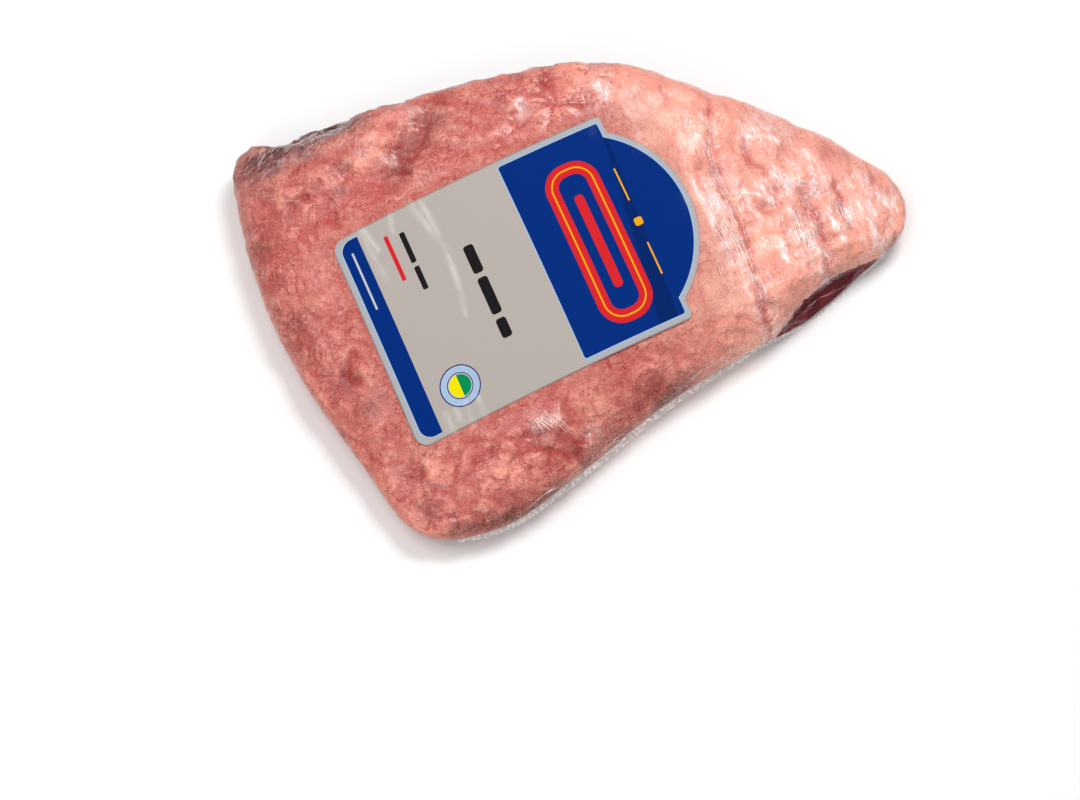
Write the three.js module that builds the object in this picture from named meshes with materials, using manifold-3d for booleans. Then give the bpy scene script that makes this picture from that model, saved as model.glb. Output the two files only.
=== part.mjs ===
// Raw picanha, the rump cap of beef, in a skin-tight clear film with a label, lying fat side up.
// Millimetres, +Z up. The origin is the middle of the footprint, on the surface that the meat lies on.
// +X runs from the wide end to the tip, and +Y from the thin near side to the thick far side.
import * as THREE from 'three';
import { mergeVertices } from 'three/addons/utils/BufferGeometryUtils.js';
import Module from 'manifold-3d';

const wasm = await Module();
wasm.setup();

// Plan outline at the widest height, anticlockwise from the tip.
const OUTLINE = [
  [157.5, 34], // tip
  [157.5, 55],
  [126, 79],
  [76, 102],
  [15, 120], // far side
  [-39, 111],
  [-73, 102],
  [-95, 95],
  [-122, 87],
  [-139, 78],
  [-156, 76], // far corner of the wide end
  [-159, 60],
  [-151, 18],
  [-130, -32], // wide end
  [-99, -79],
  [-67, -118], // near corner
  [-32, -114],
  [5, -87],
  [41, -56], // near side
  [82, -28],
  [111, -9.5],
  [135, 12],
];
const CENTRE = new THREE.Vector2(-11, 2); // where the rays of the mesh start

// Height of the top face over the plan.
const TOP_MID = 40.5;
const TOP_SLOPE_X = -0.02;
const TOP_SLOPE_Y = 0.113;
const TOP_CROWN_X = 0.00078;
const TOP_CROWN_Y = 0.0006;

// The fat cap: its thickness, and how it rolls over the edges.
const FAT_THICKNESS = 12;
const ROLLED = { run: 34, shoulder: 14, widest: 12, flare: 0, tuck: 9, seam: 0.78 };
const CUT = { run: 15, widest: 4, flare: 8, tuck: 3, seam: 0.05 };
const FAR_CUT = { from: 0.1, to: 0.43 }; // share of the outline where the lean shows on the far side
const NEAR_CUT = { from: 0.89, to: 0.995 }; // and on the near side, next to the tip
const CUT_BLEND = 0.045;
const LAYER_GAP = 0.3; // keeps the two layers apart

// The mesh: rays round the outline, and rings from the middle outwards and back.
const RAYS = 108;
const MERGE_DISTANCE = 1e-4;
const PLATEAU_RINGS = 18;
const SHOULDER_RINGS = 5;
const SIDE_RINGS = 3;
const INNER_RINGS = 5;
const INNER_SHOULDER_RINGS = 3;
const LEAN_SIDE_RINGS = 4;
const BASE_RINGS = 3;

// Relief of the fat: lobules of two sizes.
const LOBULE = { pitch: 21, height: 1.5, seed: 11 };
const SMALL_LOBULE = { pitch: 11, height: 0.6, seed: 29 };
const GROOVE_WIDTH = 0.38; // of a lobule's pitch

// Folds and dents that show from a step away: a line in plan, how wide, and how deep or, if negative, how proud.
const FOLDS = [
  { from: [61, 52], to: [65, 19], width: 7, depth: 2.4 }, // long fold beside the label's dome
  { from: [65, 19], to: [81, -32], width: 6, depth: 1.2 },
  { from: [47, 72], to: [53, 51], width: 8, depth: -1.6 },
  { from: [82, 66], to: [94, 37], width: 6, depth: 1.8 }, // curved fold between it and the tip
  { from: [107, 48], to: [110, 40], width: 8, depth: 1.8 }, // folds across the tip
  { from: [110, 40], to: [118, 12], width: 6, depth: 2.4 },
  { from: [120, 35], to: [125, 22], width: 5, depth: -1.8 },
  { from: [112, 12], to: [115, -1], width: 5, depth: -1.4 },
  { from: [129, 21], to: [133, 10], width: 6, depth: 1.4 },
  { from: [-67, 78], to: [-83, 49], width: 8, depth: 2.6 }, // valley over the far side
  { from: [-147, 65], to: [-116, 79], width: 9, depth: 4.5 }, // the far corner falls away
  { from: [-97, 49], to: [-88, 26], width: 6, depth: 2 },
  { from: [-113, 34], to: [-119, 28], width: 9, depth: 2.2 },
  { from: [-104, -47], to: [-102, -52], width: 8, depth: 2.4 }, // pit by the wide end
  { from: [-13, -69], to: [7, -76], width: 5, depth: -1.8 }, // torn edge on the near side
  { from: [0, -79], to: [21, -74], width: 6, depth: 1.8 },
];

// The label: a rectangle with round corners, and a dome on a shorter chord at one end.
const LABEL = {
  middle: [-17.5, 3], // of the whole label, in plan
  turn: THREE.MathUtils.degToRad(26.4),
  skew: 0.049, // how far the tight film has pulled it out of square
  width: 107,
  length: 161.4,
  chord: 88.4, // of the dome
  rise: 22.8,
  corner: 7,
  shoulderCorner: 3, // where the straight sides end beside the dome
  thickness: 0.8,
  gap: 0.35,
  cells: [12, 8],
  trim: 4, // cut off the slab all round
};
const FLAT_MARGIN = 3; // the fat is pressed flat under the label and this far past it
const FLAT_FADE = 9;

// The hem: the film's trimmed seal, which stands out along the near side.
const HEM = {
  from: 0.695,
  to: 0.985,
  steps: 90,
  gap: 0.35,
  width: 3,
  endWidth: 0.8,
  thickness: 0.8,
  droop: 1.2,
  waves: 11,
  waveHeight: 0.5,
  skew: 0.55, // puts the widest place nearer the corner
};

const COLOURS = { fat: 0xd98c80, lean: 0x6d1f28, label: 0xb5ada6, film: 0xe6ddda };

const mix = THREE.MathUtils.lerp;
const smooth = THREE.MathUtils.smoothstep;

// The outline as one smooth closed curve.
const outline = new THREE.CatmullRomCurve3(
  OUTLINE.map(([x, y]) => new THREE.Vector3(x, y, 0)),
  true,
  'centripetal',
);

function outlineAt(u) {
  const p = outline.getPointAt(((u % 1) + 1) % 1);
  return new THREE.Vector2(p.x, p.y);
}

// 1 where the edge is a cut that shows the lean, 0 where the fat rolls over it.
function cutShare(u) {
  const part = ({ from, to }) =>
    smooth(u, from, from + CUT_BLEND) * (1 - smooth(u, to - CUT_BLEND, to));
  return Math.max(part(FAR_CUT), part(NEAR_CUT));
}

function topHeight(x, y) {
  return TOP_MID + TOP_SLOPE_X * x + TOP_SLOPE_Y * y - TOP_CROWN_X * x * x - TOP_CROWN_Y * y * y;
}

// A repeatable number from 0 to 1 for a cell of a grid.
function cellNoise(i, j, seed) {
  const s = Math.sin(i * 127.1 + j * 311.7 + seed * 74.7) * 43758.5453;
  return s - Math.floor(s);
}

// Rounded lobules with grooves between them: the gap between the nearest and the next cell centre.
function lobules(x, y, { pitch, height, seed }) {
  const column = Math.floor(x / pitch);
  const row = Math.floor(y / pitch);
  let nearest = Infinity;
  let next = Infinity;
  for (let i = column - 1; i <= column + 1; i++)
    for (let j = row - 1; j <= row + 1; j++) {
      const cx = (i + cellNoise(i, j, seed)) * pitch;
      const cy = (j + cellNoise(i, j, seed + 1)) * pitch;
      const distance = Math.hypot(x - cx, y - cy);
      next = Math.min(next, Math.max(distance, nearest));
      nearest = Math.min(nearest, distance);
    }
  return height * (smooth(next - nearest, 0, GROOVE_WIDTH * pitch) - 0.5);
}

function foldDepth(x, y, { from, to, width, depth }) {
  const line = new THREE.Line3(new THREE.Vector3(...from, 0), new THREE.Vector3(...to, 0));
  const point = new THREE.Vector3(x, y, 0);
  const distance = line.closestPointToPoint(point, true, new THREE.Vector3()).distanceTo(point);
  return depth * Math.exp(-((distance / width) ** 2));
}

// A point of the plan in the label's own frame: along its length and across it.
function onLabel(x, y) {
  const p = new THREE.Vector2(x - LABEL.middle[0], y - LABEL.middle[1]);
  p.rotateAround(new THREE.Vector2(), -LABEL.turn);
  return p.setX(p.x - LABEL.skew * p.y);
}

// 0 under the label, 1 well clear of it.
function clearOfLabel(x, y) {
  const p = onLabel(x, y);
  const past = Math.max(Math.abs(p.x) - LABEL.length / 2, Math.abs(p.y) - LABEL.width / 2);
  return smooth(past, FLAT_MARGIN, FLAT_MARGIN + FLAT_FADE);
}

function relief(x, y) {
  const lumps = lobules(x, y, LOBULE) + lobules(x, y, SMALL_LOBULE);
  const folds = FOLDS.reduce((sum, fold) => sum + foldDepth(x, y, fold), 0);
  return (lumps - folds) * clearOfLabel(x, y);
}

// The edge's cross-section at a share of the outline: sizes blended between the rolled and the cut edge.
function edgeAt(u) {
  const cut = cutShare(u);
  const point = outlineAt(u);
  const run = mix(ROLLED.run, CUT.run, cut);
  const flare = mix(ROLLED.flare, CUT.flare, cut);
  const toEdge = point.clone().sub(CENTRE);
  const reach = toEdge.length();
  const rim = point.clone().addScaledVector(toEdge, -(flare + run) / reach);
  return {
    point,
    reach,
    direction: toEdge.divideScalar(reach),
    run,
    flare,
    shoulder: mix(ROLLED.shoulder, topHeight(rim.x, rim.y) - FAT_THICKNESS, cut),
    widest: mix(ROLLED.widest, CUT.widest, cut),
    tuck: mix(ROLLED.tuck, CUT.tuck, cut),
    seam: mix(ROLLED.seam, CUT.seam, cut),
  };
}

// A point at an offset from the outline, negative inwards, along the ray, and at a height.
function place(edge, offset, z) {
  const p = edge.point.clone().addScaledVector(edge.direction, offset);
  return new THREE.Vector3(p.x, p.y, z);
}

function plateau(edge, share, drop) {
  const offset = -edge.reach + share * (edge.reach - edge.flare - edge.run);
  const p = place(edge, offset, 0);
  const raised = drop ? 0 : relief(p.x, p.y);
  return p.setZ(topHeight(p.x, p.y) - drop + raised);
}

function shoulder(edge, angle) {
  const offset = -edge.flare - edge.run * (1 - Math.sin(angle));
  const p = place(edge, offset, 0);
  const fall = (topHeight(p.x, p.y) - edge.shoulder) * (1 - Math.cos(angle));
  const raised = relief(p.x, p.y);
  return place(edge, offset + raised * Math.sin(angle), topHeight(p.x, p.y) - fall + raised * Math.cos(angle));
}

// The side below the shoulder: its upper half is the wall, and its lower half curves under to the base.
function side(edge, share) {
  if (share < 0.5)
    return place(edge, mix(-edge.flare, 0, share * 2), mix(edge.shoulder, edge.widest, share * 2));
  const angle = (share - 0.5) * Math.PI;
  return place(edge, -edge.tuck * (1 - Math.cos(angle)), edge.widest * (1 - Math.sin(angle)));
}

// The face between the layers, from the flat of the cap down to the seam. The lean's copy is set back by a gap.
function layerFace(edge, angle, gap) {
  const rimOffset = -edge.flare - edge.run;
  const rim = place(edge, rimOffset, 0);
  const rimHeight = topHeight(rim.x, rim.y) - FAT_THICKNESS;
  const seam = side(edge, edge.seam);
  const seamOffset = seam.clone().setZ(0).distanceTo(place(edge, -edge.reach, 0)) - edge.reach;
  return place(
    edge,
    mix(rimOffset, seamOffset, Math.sin(angle)) - gap,
    mix(seam.z, rimHeight, Math.cos(angle)) - gap,
  );
}

// Rings of a closed body from its upper pole to its lower pole, as functions of the edge.
const steps = (count, first, last) =>
  Array.from({ length: count }, (_, i) => mix(first, last, (i + 1) / count));

const QUARTER = Math.PI / 2;
const innerSteps = steps(INNER_RINGS, 0, 1);
const innerAngles = steps(INNER_SHOULDER_RINGS, 0, QUARTER);

const fatRings = [
  ...steps(PLATEAU_RINGS, 0, 1).map((s) => (edge) => plateau(edge, s, 0)),
  ...steps(SHOULDER_RINGS, 0, QUARTER).map((a) => (edge) => shoulder(edge, a)),
  ...steps(SIDE_RINGS, 0, 1).map((s) => (edge) => side(edge, s * edge.seam)),
  ...innerAngles.slice(0, -1).reverse().map((a) => (edge) => layerFace(edge, a, 0)),
  ...innerSteps.slice().reverse().map((s) => (edge) => plateau(edge, s, FAT_THICKNESS)),
];

const leanRings = [
  ...innerSteps.map((s) => (edge) => plateau(edge, s, FAT_THICKNESS + LAYER_GAP)),
  ...innerAngles.map((a) => (edge) => layerFace(edge, a, LAYER_GAP)),
  ...steps(LEAN_SIDE_RINGS, 0, 1).map((s) => (edge) => side(edge, mix(edge.seam, 1, s))),
  ...steps(BASE_RINGS, 1, 0).slice(0, -1).map((s) => (edge) => {
    const rim = side(edge, 1);
    return new THREE.Vector3(mix(CENTRE.x, rim.x, s), mix(CENTRE.y, rim.y, s), 0);
  }),
];

// A closed body from rings: a lathe gives the faces, and each of its points goes where its ring says.
// A mirrored body takes its rays the other way round, which turns the diagonal of each of its four-sided
// faces: two bodies whose rings run in opposite directions over a shared face then fit each other.
function bodyFromRings(rings, topPole, bottomPole, mirrored) {
  const profile = [
    new THREE.Vector2(0, 1),
    ...rings.map((_, i) => new THREE.Vector2(1, 1 - (i + 1) / (rings.length + 1))),
    new THREE.Vector2(0, 0),
  ].reverse();
  const lathe = new THREE.LatheGeometry(profile, RAYS);
  const position = lathe.getAttribute('position');
  const edges = Array.from({ length: RAYS }, (_, i) => edgeAt(i / RAYS));
  for (let v = 0; v < position.count; v++) {
    const step = Math.floor(v / profile.length);
    const ray = (mirrored ? RAYS - step : step) % RAYS;
    const ring = profile.length - 2 - (v % profile.length);
    const p = ring < 0 ? topPole : ring === rings.length ? bottomPole : rings[ring](edges[ray]);
    position.setXYZ(v, p.x, p.y, p.z);
  }
  if (mirrored) lathe.getIndex().array.reverse();
  return closed(lathe);
}

// The same faces with shared vertices merged and empty triangles dropped.
function closed(geometry) {
  const bare = geometry.clone();
  bare.deleteAttribute('normal');
  bare.deleteAttribute('uv');
  const merged = mergeVertices(bare, MERGE_DISTANCE);
  const index = merged.getIndex().array;
  const kept = [];
  for (let i = 0; i < index.length; i += 3) {
    const [a, b, c] = index.subarray(i, i + 3);
    if (a !== b && b !== c && a !== c) kept.push(a, b, c);
  }
  merged.setIndex(kept);
  return merged;
}

function toSolid(geometry) {
  return new wasm.Manifold(
    new wasm.Mesh({
      numProp: 3,
      vertProperties: new Float32Array(geometry.getAttribute('position').array),
      triVerts: new Uint32Array(geometry.getIndex().array),
    }),
  );
}

function toGeometry(solid) {
  const mesh = solid.getMesh();
  const geometry = new THREE.BufferGeometry();
  geometry.setAttribute('position', new THREE.BufferAttribute(mesh.vertProperties, 3));
  geometry.setIndex(new THREE.BufferAttribute(mesh.triVerts, 1));
  return geometry;
}

function fatCap() {
  const { x, y } = CENTRE;
  const top = new THREE.Vector3(x, y, topHeight(x, y) + relief(x, y));
  const bottom = new THREE.Vector3(x, y, topHeight(x, y) - FAT_THICKNESS);
  return bodyFromRings(fatRings, top, bottom, false);
}

function leanMeat() {
  const { x, y } = CENTRE;
  const top = new THREE.Vector3(x, y, topHeight(x, y) - FAT_THICKNESS - LAYER_GAP);
  return bodyFromRings(leanRings, top, new THREE.Vector3(x, y, 0), true);
}

// The label's outline in its own frame, with the dome towards +X.
function labelShape() {
  const { length, width, chord, rise, corner, shoulderCorner } = LABEL;
  const left = -length / 2;
  const shoulderX = length / 2 - rise;
  const half = width / 2;
  const radius = (chord * chord / 4 + rise * rise) / (2 * rise);
  const opening = Math.asin(chord / 2 / radius);
  const shape = new THREE.Shape();
  shape.moveTo(left + corner, -half);
  shape.lineTo(shoulderX - shoulderCorner, -half);
  shape.absarc(shoulderX - shoulderCorner, shoulderCorner - half, shoulderCorner, -QUARTER, 0, false);
  shape.lineTo(shoulderX, -chord / 2);
  shape.absarc(length / 2 - radius, 0, radius, -opening, opening, false);
  shape.lineTo(shoulderX, half - shoulderCorner);
  shape.absarc(shoulderX - shoulderCorner, half - shoulderCorner, shoulderCorner, 0, QUARTER, false);
  shape.lineTo(left + corner, half);
  shape.absarc(left + corner, half - corner, corner, QUARTER, 2 * QUARTER, false);
  shape.absarc(left + corner, corner - half, corner, 2 * QUARTER, 3 * QUARTER, false);
  return shape;
}

// The label lies on the fat: a thin slab that follows the top face, cut to the outline.
function label() {
  const { length, width, thickness, gap, cells, trim, middle, turn, skew } = LABEL;
  const slab = closed(new THREE.BoxGeometry(length + 2 * trim, width + 2 * trim, 1, ...cells, 1));
  slab.rotateZ(turn).translate(...middle, 0);
  const position = slab.getAttribute('position');
  for (let v = 0; v < position.count; v++) {
    const lift = gap + (position.getZ(v) > 0 ? thickness : 0);
    position.setZ(v, topHeight(position.getX(v), position.getY(v)) + lift);
  }
  const cutter = new THREE.ExtrudeGeometry(labelShape(), { depth: TOP_MID * 2, bevelEnabled: false });
  cutter.applyMatrix4(new THREE.Matrix4().makeShear(0, 0, skew, 0, 0, 0));
  cutter.rotateZ(turn).translate(...middle, 0);
  return toGeometry(toSolid(slab).intersect(toSolid(closed(cutter))));
}

// The hem: a thin strip that waves up and down along the widest line of the near side.
function filmHem() {
  const { from, to, gap, width, endWidth, thickness, droop, waves, waveHeight } = HEM;
  const strip = closed(new THREE.BoxGeometry(1, 1, 1, HEM.steps, 1, 1));
  const position = strip.getAttribute('position');
  for (let v = 0; v < position.count; v++) {
    const along = position.getX(v) + 0.5;
    const across = 0.5 - position.getY(v);
    const edge = edgeAt(mix(from, to, along));
    const reach = mix(endWidth, width, Math.sin(Math.PI * along ** HEM.skew));
    const wave = waveHeight * Math.sin(2 * Math.PI * waves * along) * across;
    const z = edge.widest - droop * across + wave + position.getZ(v) * thickness;
    const p = place(edge, gap + across * reach, z);
    position.setXYZ(v, p.x, p.y, p.z);
  }
  return strip;
}

const picanha = new THREE.Group();

function addPiece(name, geometry, color, roughness) {
  const mesh = new THREE.Mesh(geometry, new THREE.MeshStandardMaterial({ color, roughness, metalness: 0 }));
  mesh.name = name;
  picanha.add(mesh);
}

addPiece('fat_cap', fatCap(), COLOURS.fat, 0.45);
addPiece('lean_meat', leanMeat(), COLOURS.lean, 0.4);
addPiece('label', label(), COLOURS.label, 0.35);
addPiece('film_hem', filmHem(), COLOURS.film, 0.2);

export default picanha;
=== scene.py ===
import math

import bmesh
import bpy
import numpy as np
from mathutils import Matrix, Vector
from mathutils.bvhtree import BVHTree


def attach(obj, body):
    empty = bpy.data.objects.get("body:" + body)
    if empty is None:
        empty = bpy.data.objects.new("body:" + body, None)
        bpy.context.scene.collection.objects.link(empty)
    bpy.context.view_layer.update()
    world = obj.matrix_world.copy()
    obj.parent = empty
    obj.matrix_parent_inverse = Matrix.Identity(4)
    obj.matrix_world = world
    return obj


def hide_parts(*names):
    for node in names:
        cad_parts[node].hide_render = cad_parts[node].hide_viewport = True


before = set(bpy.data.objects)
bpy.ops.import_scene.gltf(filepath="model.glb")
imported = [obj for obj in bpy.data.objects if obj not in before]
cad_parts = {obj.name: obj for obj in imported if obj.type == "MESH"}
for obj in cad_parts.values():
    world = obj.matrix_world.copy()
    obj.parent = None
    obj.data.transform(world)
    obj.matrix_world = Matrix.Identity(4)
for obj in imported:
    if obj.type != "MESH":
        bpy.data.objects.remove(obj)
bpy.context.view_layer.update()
scene = bpy.context.scene

MM = 0.001

# How fine the meshes are
FAT_MESH = 1.0 * MM
LEAN_MESH = 1.4 * MM
FILM_MESH = 1.0 * MM
LABEL_MESH = 3 * MM
MOST_TRIANGLES = 190_000

# The label, in its own frame: along its length towards the dome, and across it
LABEL_MIDDLE = (-17.5 * MM, 3 * MM)
LABEL_TURN = math.radians(26.4)
LABEL_SKEW = 0.049
LABEL_CORNER = 7 * MM
LABEL_SHOULDER_CORNER = 3 * MM
LABEL_CHORD = 88.4 * MM
LABEL_RISE = 22.8 * MM
LABEL_THICKNESS = 0.12 * MM
LABEL_SINK = 0.95 * MM
INK_SOFTNESS = 0.06 * MM

# How many points the arcs of the label's outline have
SHOULDER_POINTS = 6
DOME_POINTS = 41
CORNER_POINTS = 9

# The film: how far it stays off its contents and off the floor, and which way it is pulled
FILM_CLEARANCE = 0.2 * MM
FILM_FOOT = 0.1 * MM
FILM_PULL = math.radians(-68)
CORNER_PULL = math.radians(48)

# How deep in its contents a point of the film can be and still be lifted out of them
FILM_LIFT = 3 * MM

# Marks on the fat, in plan: x, y and radius in mm
BRUISES = [
    (-62, 77, 6), (-69, 66, 6), (-77, 55, 5), (-108, 55, 4), (-106, 41, 3), (-150, 51, 7),
    (-139, 60, 7), (-124, 63, 6), (-145, 19, 6), (-126, -19, 5), (-13, -76, 4), (9, -84, 4),
    (-27, -106, 4), (-64, -108, 5), (-91, -61, 5), (-104, -48, 4), (68, 52, 4), (-108, -72, 5),
    (-156, 60, 9),
]
BLOOD_SPOTS = [
    (-104, -45, 3), (-80, 63, 4), (-130, 36, 4), (-123, 40, 3), (-77, 50, 3), (-34, 85, 4),
    (-12, 97, 3), (-52, -112, 2), (-35, -83, 2), (3, -82, 3), (-5, -73, 2),
    (60, 2, 3), (79, -22, 3), (89, -11, 3), (37, -53, 4), (67, -29, 3), (93, 36, 4),
    (121, 68, 5), (133, 60, 4), (149, 49, 6), (141, 55, 5), (56, 77, 2), (125, 38, 4),
    (31, -60, 3), (-71, -91, 5), (-61, 88, 4), (-119, 47, 3),
]
# Pale patches: paler fat in part, and in part a broad sheen painted into the colour
PALE_AND_SHEEN_PATCHES = [
    (56, 71, 8), (39, 67, 7), (60, 38, 7), (32, 82, 10), (92, 18, 10), (106, 19, 9),
    (82, -26, 10), (135, 24, 10), (73, -12, 7), (23, 90, 7), (-93, 66, 6), (-28, -92, 7),
    (-101, 56, 5), (-64, -87, 6), (13, -61, 7), (96, -16, 8), (150, 41, 12), (137, 44, 8),
    (5, 101, 9), (24, 98, 10), (52, 84, 8), (44, 78, 8),
]
CORNER_BULGE = [(-160, 62, 10), (-128, 76, 9)]

# Strokes on the fat, in plan: the points in mm that each one runs through
VALLEY = [[(-66, 79), (-82, 50)]]
# The rims along the far, near and sealed edges: the lean showing dark through them, and painted shade along
# them
FAR_RIM = [[(-119, 85), (-94, 93), (-59, 104), (-19, 113), (11, 118)]]
FAR_CORNER = [[(-147, 65), (-130, 72), (-108, 81)]]
NEAR_RIM = [[(70, -40), (82, -33), (92, -27), (103, -17)], [(103, -17), (120, -4), (140, 14), (152, 26)]]
SEAL_RIM = [[(-53, -117), (-35, -113), (-21, -108), (-6, -97), (11, -82), (27, -69), (46, -51), (68, -39)]]
FURROWS = [
    [(64, 84), (64, 66), (66, 55), (70, 44), (77, 30), (82, 16), (85, 2), (88, -13), (99, -33)],
    [(83, 69), (82, 63), (86, 57), (90, 54)],
    [(108, 46), (114, 33), (118, 21), (119, 8), (119, 0)],
    [(124, 51), (127, 38), (130, 28)],
    [(-19, -76), (-9, -74), (2, -78), (10, -73)],
    [(-24, -84), (-12, -82), (0, -84)],
    [(-66, 80), (-70, 66), (-80, 52)],
    [(-126, 41), (-120, 43), (-113, 38)],
    [(-100, -36), (-103, -43), (-98, -49)],
]

# Where the film's sheen is painted in as a milky white, and where it is crumpled: x, y and radius in mm
SHEEN_VEILS = [
    (58, 67, 7), (65, 39, 8), (79, 38, 9), (86, 41, 7), (70, 15, 7), (101, 49, 8), (111, 17, 9),
    (115, 50, 8), (125, 33, 7), (138, 37, 9), (91, 77, 7), (111, 65, 4), (56, 75, 5), (80, -6, 8),
    (98, -24, 9), (145, 26, 7), (149, 44, 9), (140, 52, 7), (32, 67, 5),
    (14, 80, 7), (-24, 80, 4), (-12, -69, 4), (8, -73, 3),
    (30, 84, 9), (14, 93, 6),
]
CRUMPLES = [
    (89, 78, 9), (100, 74, 8), (98, 47, 9), (114, 48, 8), (107, 28, 11), (115, 14, 10), (131, 36, 9),
    (65, 20, 10), (-97, 65, 6), (-86, 57, 5), (-76, 80, 5), (-68, 48, 5), (-12, -70, 6), (10, -74, 5),
    (34, 67, 6), (138, 40, 8), (66, 40, 8), (88, -4, 9),
]

# Strokes in plan where the raised film gets painted sheen, and where sheen streaks are painted over the
# label: the points in mm
RIDGES = [
    [(100, 37), (106, 31), (112, 22), (116, 12), (118, 3)], [(119, 38), (123, 30), (127, 22)],
    [(135, 41), (139, 34), (143, 27)], [(82, 64), (83, 70), (90, 73), (97, 70)],
    [(57, 45), (61, 36), (66, 25)], [(78, 45), (85, 41), (93, 39)], [(97, 50), (103, 48), (108, 51)],
    [(92, 30), (97, 20), (99, 10)],
]
LABEL_STREAKS = [
    [(-75, 35), (-65, 21), (-57, 11), (-52, -5), (-48, -20)], [(-70, 36), (-61, 18)],
    [(-97, 22), (-94, 16), (-90, 7), (-84, -3)], [(-96, 22), (-89, 12)], [(-84, 29), (-82, 20)],
    [(-48, -61), (-44, -71)], [(-42, -59), (-39, -68)], [(-57, -66), (-53, -74)], [(-52, -64), (-50, -69)],
]

# Fans of creases in mm: first and last line, how many, the share of its line one covers, its width
CREASE_FANS = [
    ([(62, 90), (63, 74), (64, 60), (69, 45), (76, 30), (82, 14), (85, -3)],
     [(63, 90), (65, 74), (66, 60), (71, 46), (78, 31), (83, 16), (87, -3)], 8, 0.4, 0.26),
    ([(55, 44), (78, -4)], [(70, 44), (90, -12)], 17, 0.6, 0.32),
    ([(61, 16), (75, -10)], [(70, 10), (83, -16)], 8, 0.6, 0.24),
    ([(65, 71), (75, 81)], [(63, 82), (67, 87)], 3, 0.9, 0.28),
    ([(58, 33), (82, -18)], [(72, 38), (94, -8)], 24, 0.4, 0.2),
    ([(92, 44), (97, 22), (108, 0)], [(112, 36), (116, 20), (120, 4)], 26, 0.35, 0.22),
    ([(88, 60), (96, 70), (108, 70)], [(96, 50), (104, 58), (112, 60)], 9, 0.5, 0.25),
    ([(100, 48), (108, 52), (118, 50)], [(104, 38), (112, 42), (122, 42)], 10, 0.5, 0.25),
    ([(86, 80), (92, 72)], [(94, 82), (105, 76)], 6, 0.8, 0.32),
    ([(102, 34), (112, 38)], [(109, 5), (118, 10)], 18, 0.7, 0.3),
    ([(99, 45), (110, 10)], [(108, 44), (118, 6)], 7, 0.5, 0.36),
    ([(108, 42), (118, 55)], [(113, 38), (125, 51)], 6, 0.8, 0.32),
    ([(121, 43), (126, 26)], [(125, 44), (130, 28)], 5, 0.7, 0.36),
    ([(131, 47), (135, 35)], [(140, 45), (144, 31)], 8, 0.7, 0.28),
    ([(0, 97), (3, 80)], [(17, 100), (20, 79)], 12, 0.6, 0.18),
    ([(28, 66), (33, 70)], [(35, 63), (41, 67)], 5, 0.8, 0.32),
    ([(-154, 50), (-146, 62)], [(-121, 62), (-112, 76)], 30, 0.4, 0.16),
    ([(-138, 66), (-124, 73), (-108, 79)], [(-136, 69), (-123, 77), (-108, 84)], 5, 0.7, 0.22),
    ([(-121, 57), (-95, 33)], [(-130, 49), (-104, 28)], 6, 0.4, 0.17),
    ([(-156, 50), (-123, 42)], [(-153, 42), (-124, 39)], 4, 0.4, 0.17),
    ([(-102, 67), (-99, 55)], [(-93, 71), (-90, 61)], 7, 0.5, 0.24),
    ([(-88, 63), (-86, 52)], [(-81, 62), (-80, 52)], 5, 0.5, 0.24),
    ([(-79, 85), (-76, 77)], [(-75, 84), (-73, 77)], 3, 0.8, 0.32),
    ([(-19, -67), (-12, -75)], [(-12, -65), (3, -74)], 8, 0.7, 0.36),
    ([(149, 23), (138, 15), (128, 7), (115, -1), (104, -13), (91, -25), (82, -31)],
     [(158, 33), (146, 18), (135, 8), (126, -3), (112, -14), (98, -22), (84, -32)], 22, 0.22, 0.22),
    ([(86, -26), (60, -39), (34, -61), (13, -78), (-5, -95), (-22, -107), (-44, -114)],
     [(88, -29), (62, -42), (35, -64), (14, -81), (-4, -98), (-22, -110), (-46, -117)], 26, 0.16, 0.32),
]

# A crease: the step between its points, how many points its line is first drawn with, its flatness
CREASE_STEP = 1.5 * MM
CREASE_POINTS = 60
CREASE_FLATNESS = 0.35

# How far beside a crease its dark line lies, as a share of its width
CREASE_SHADE_OFFSET = 0.8

# How upright the film faces where the label or a crease can lie on it
FILM_TOP_SIDE = 0.3

# Rounds of smoothing that take off a solid's facets, and that take off the fat's lumps
FACET_ROUNDS = 3
LUMP_ROUNDS = 24

# How far the fat's lumps stand out and its grooves go in
LOBULE_HEIGHT = 0.75 * MM
CURD_HEIGHT = 0.2 * MM
GRAIN_HEIGHT = 0.12 * MM
SEAM_DEPTH = 0.5 * MM
PIT_DEPTH = 0.6 * MM
FURROW_DEPTH = 0.6 * MM
RIDGE_HEIGHT = 0.8 * MM
BULGE_HEIGHT = 2.2 * MM

# How far the film's own wrinkles and the crinkles of its seal stand out
WRINKLE_HEIGHT = 0.06 * MM
CRUMPLE_HEIGHT = 0.3 * MM
SEAL_CRINKLE = 0.35 * MM
SEAL_FINE_CRINKLE = 0.2 * MM

# How far the lean meat's fibres stand out, how far it stays inside the film, and off the floor
FIBRE_HEIGHT = 0.3 * MM
FINE_FIBRE_HEIGHT = 0.15 * MM
LEAN_INSET = 0.35 * MM
LEAN_FOOT = 0.5 * MM


def smooth(value, low, high):
    """0 below low, 1 above high, and a soft step between them."""
    t = np.clip((value - low) / (high - low), 0, 1)
    return t * t * (3 - 2 * t)


def cell_value(cell, seed):
    """A repeatable number from 0 to 1 for each cell."""
    mixed = np.sin(cell @ (127.1, 311.7, 74.7) + seed * 53.3) * 43758.5453
    return mixed - np.floor(mixed)


def noise(points, pitch, seed):
    """Smooth noise from -1 to 1, with bumps about a pitch apart."""
    cell = np.floor(points / pitch)
    t = points / pitch - cell
    t = t * t * (3 - 2 * t)
    total = np.zeros(len(points))
    for corner in np.ndindex(2, 2, 2):
        share = np.prod(np.where(corner, t, 1 - t), axis=1)
        total += share * cell_value(cell + corner, seed)
    return 2 * total - 1


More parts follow.
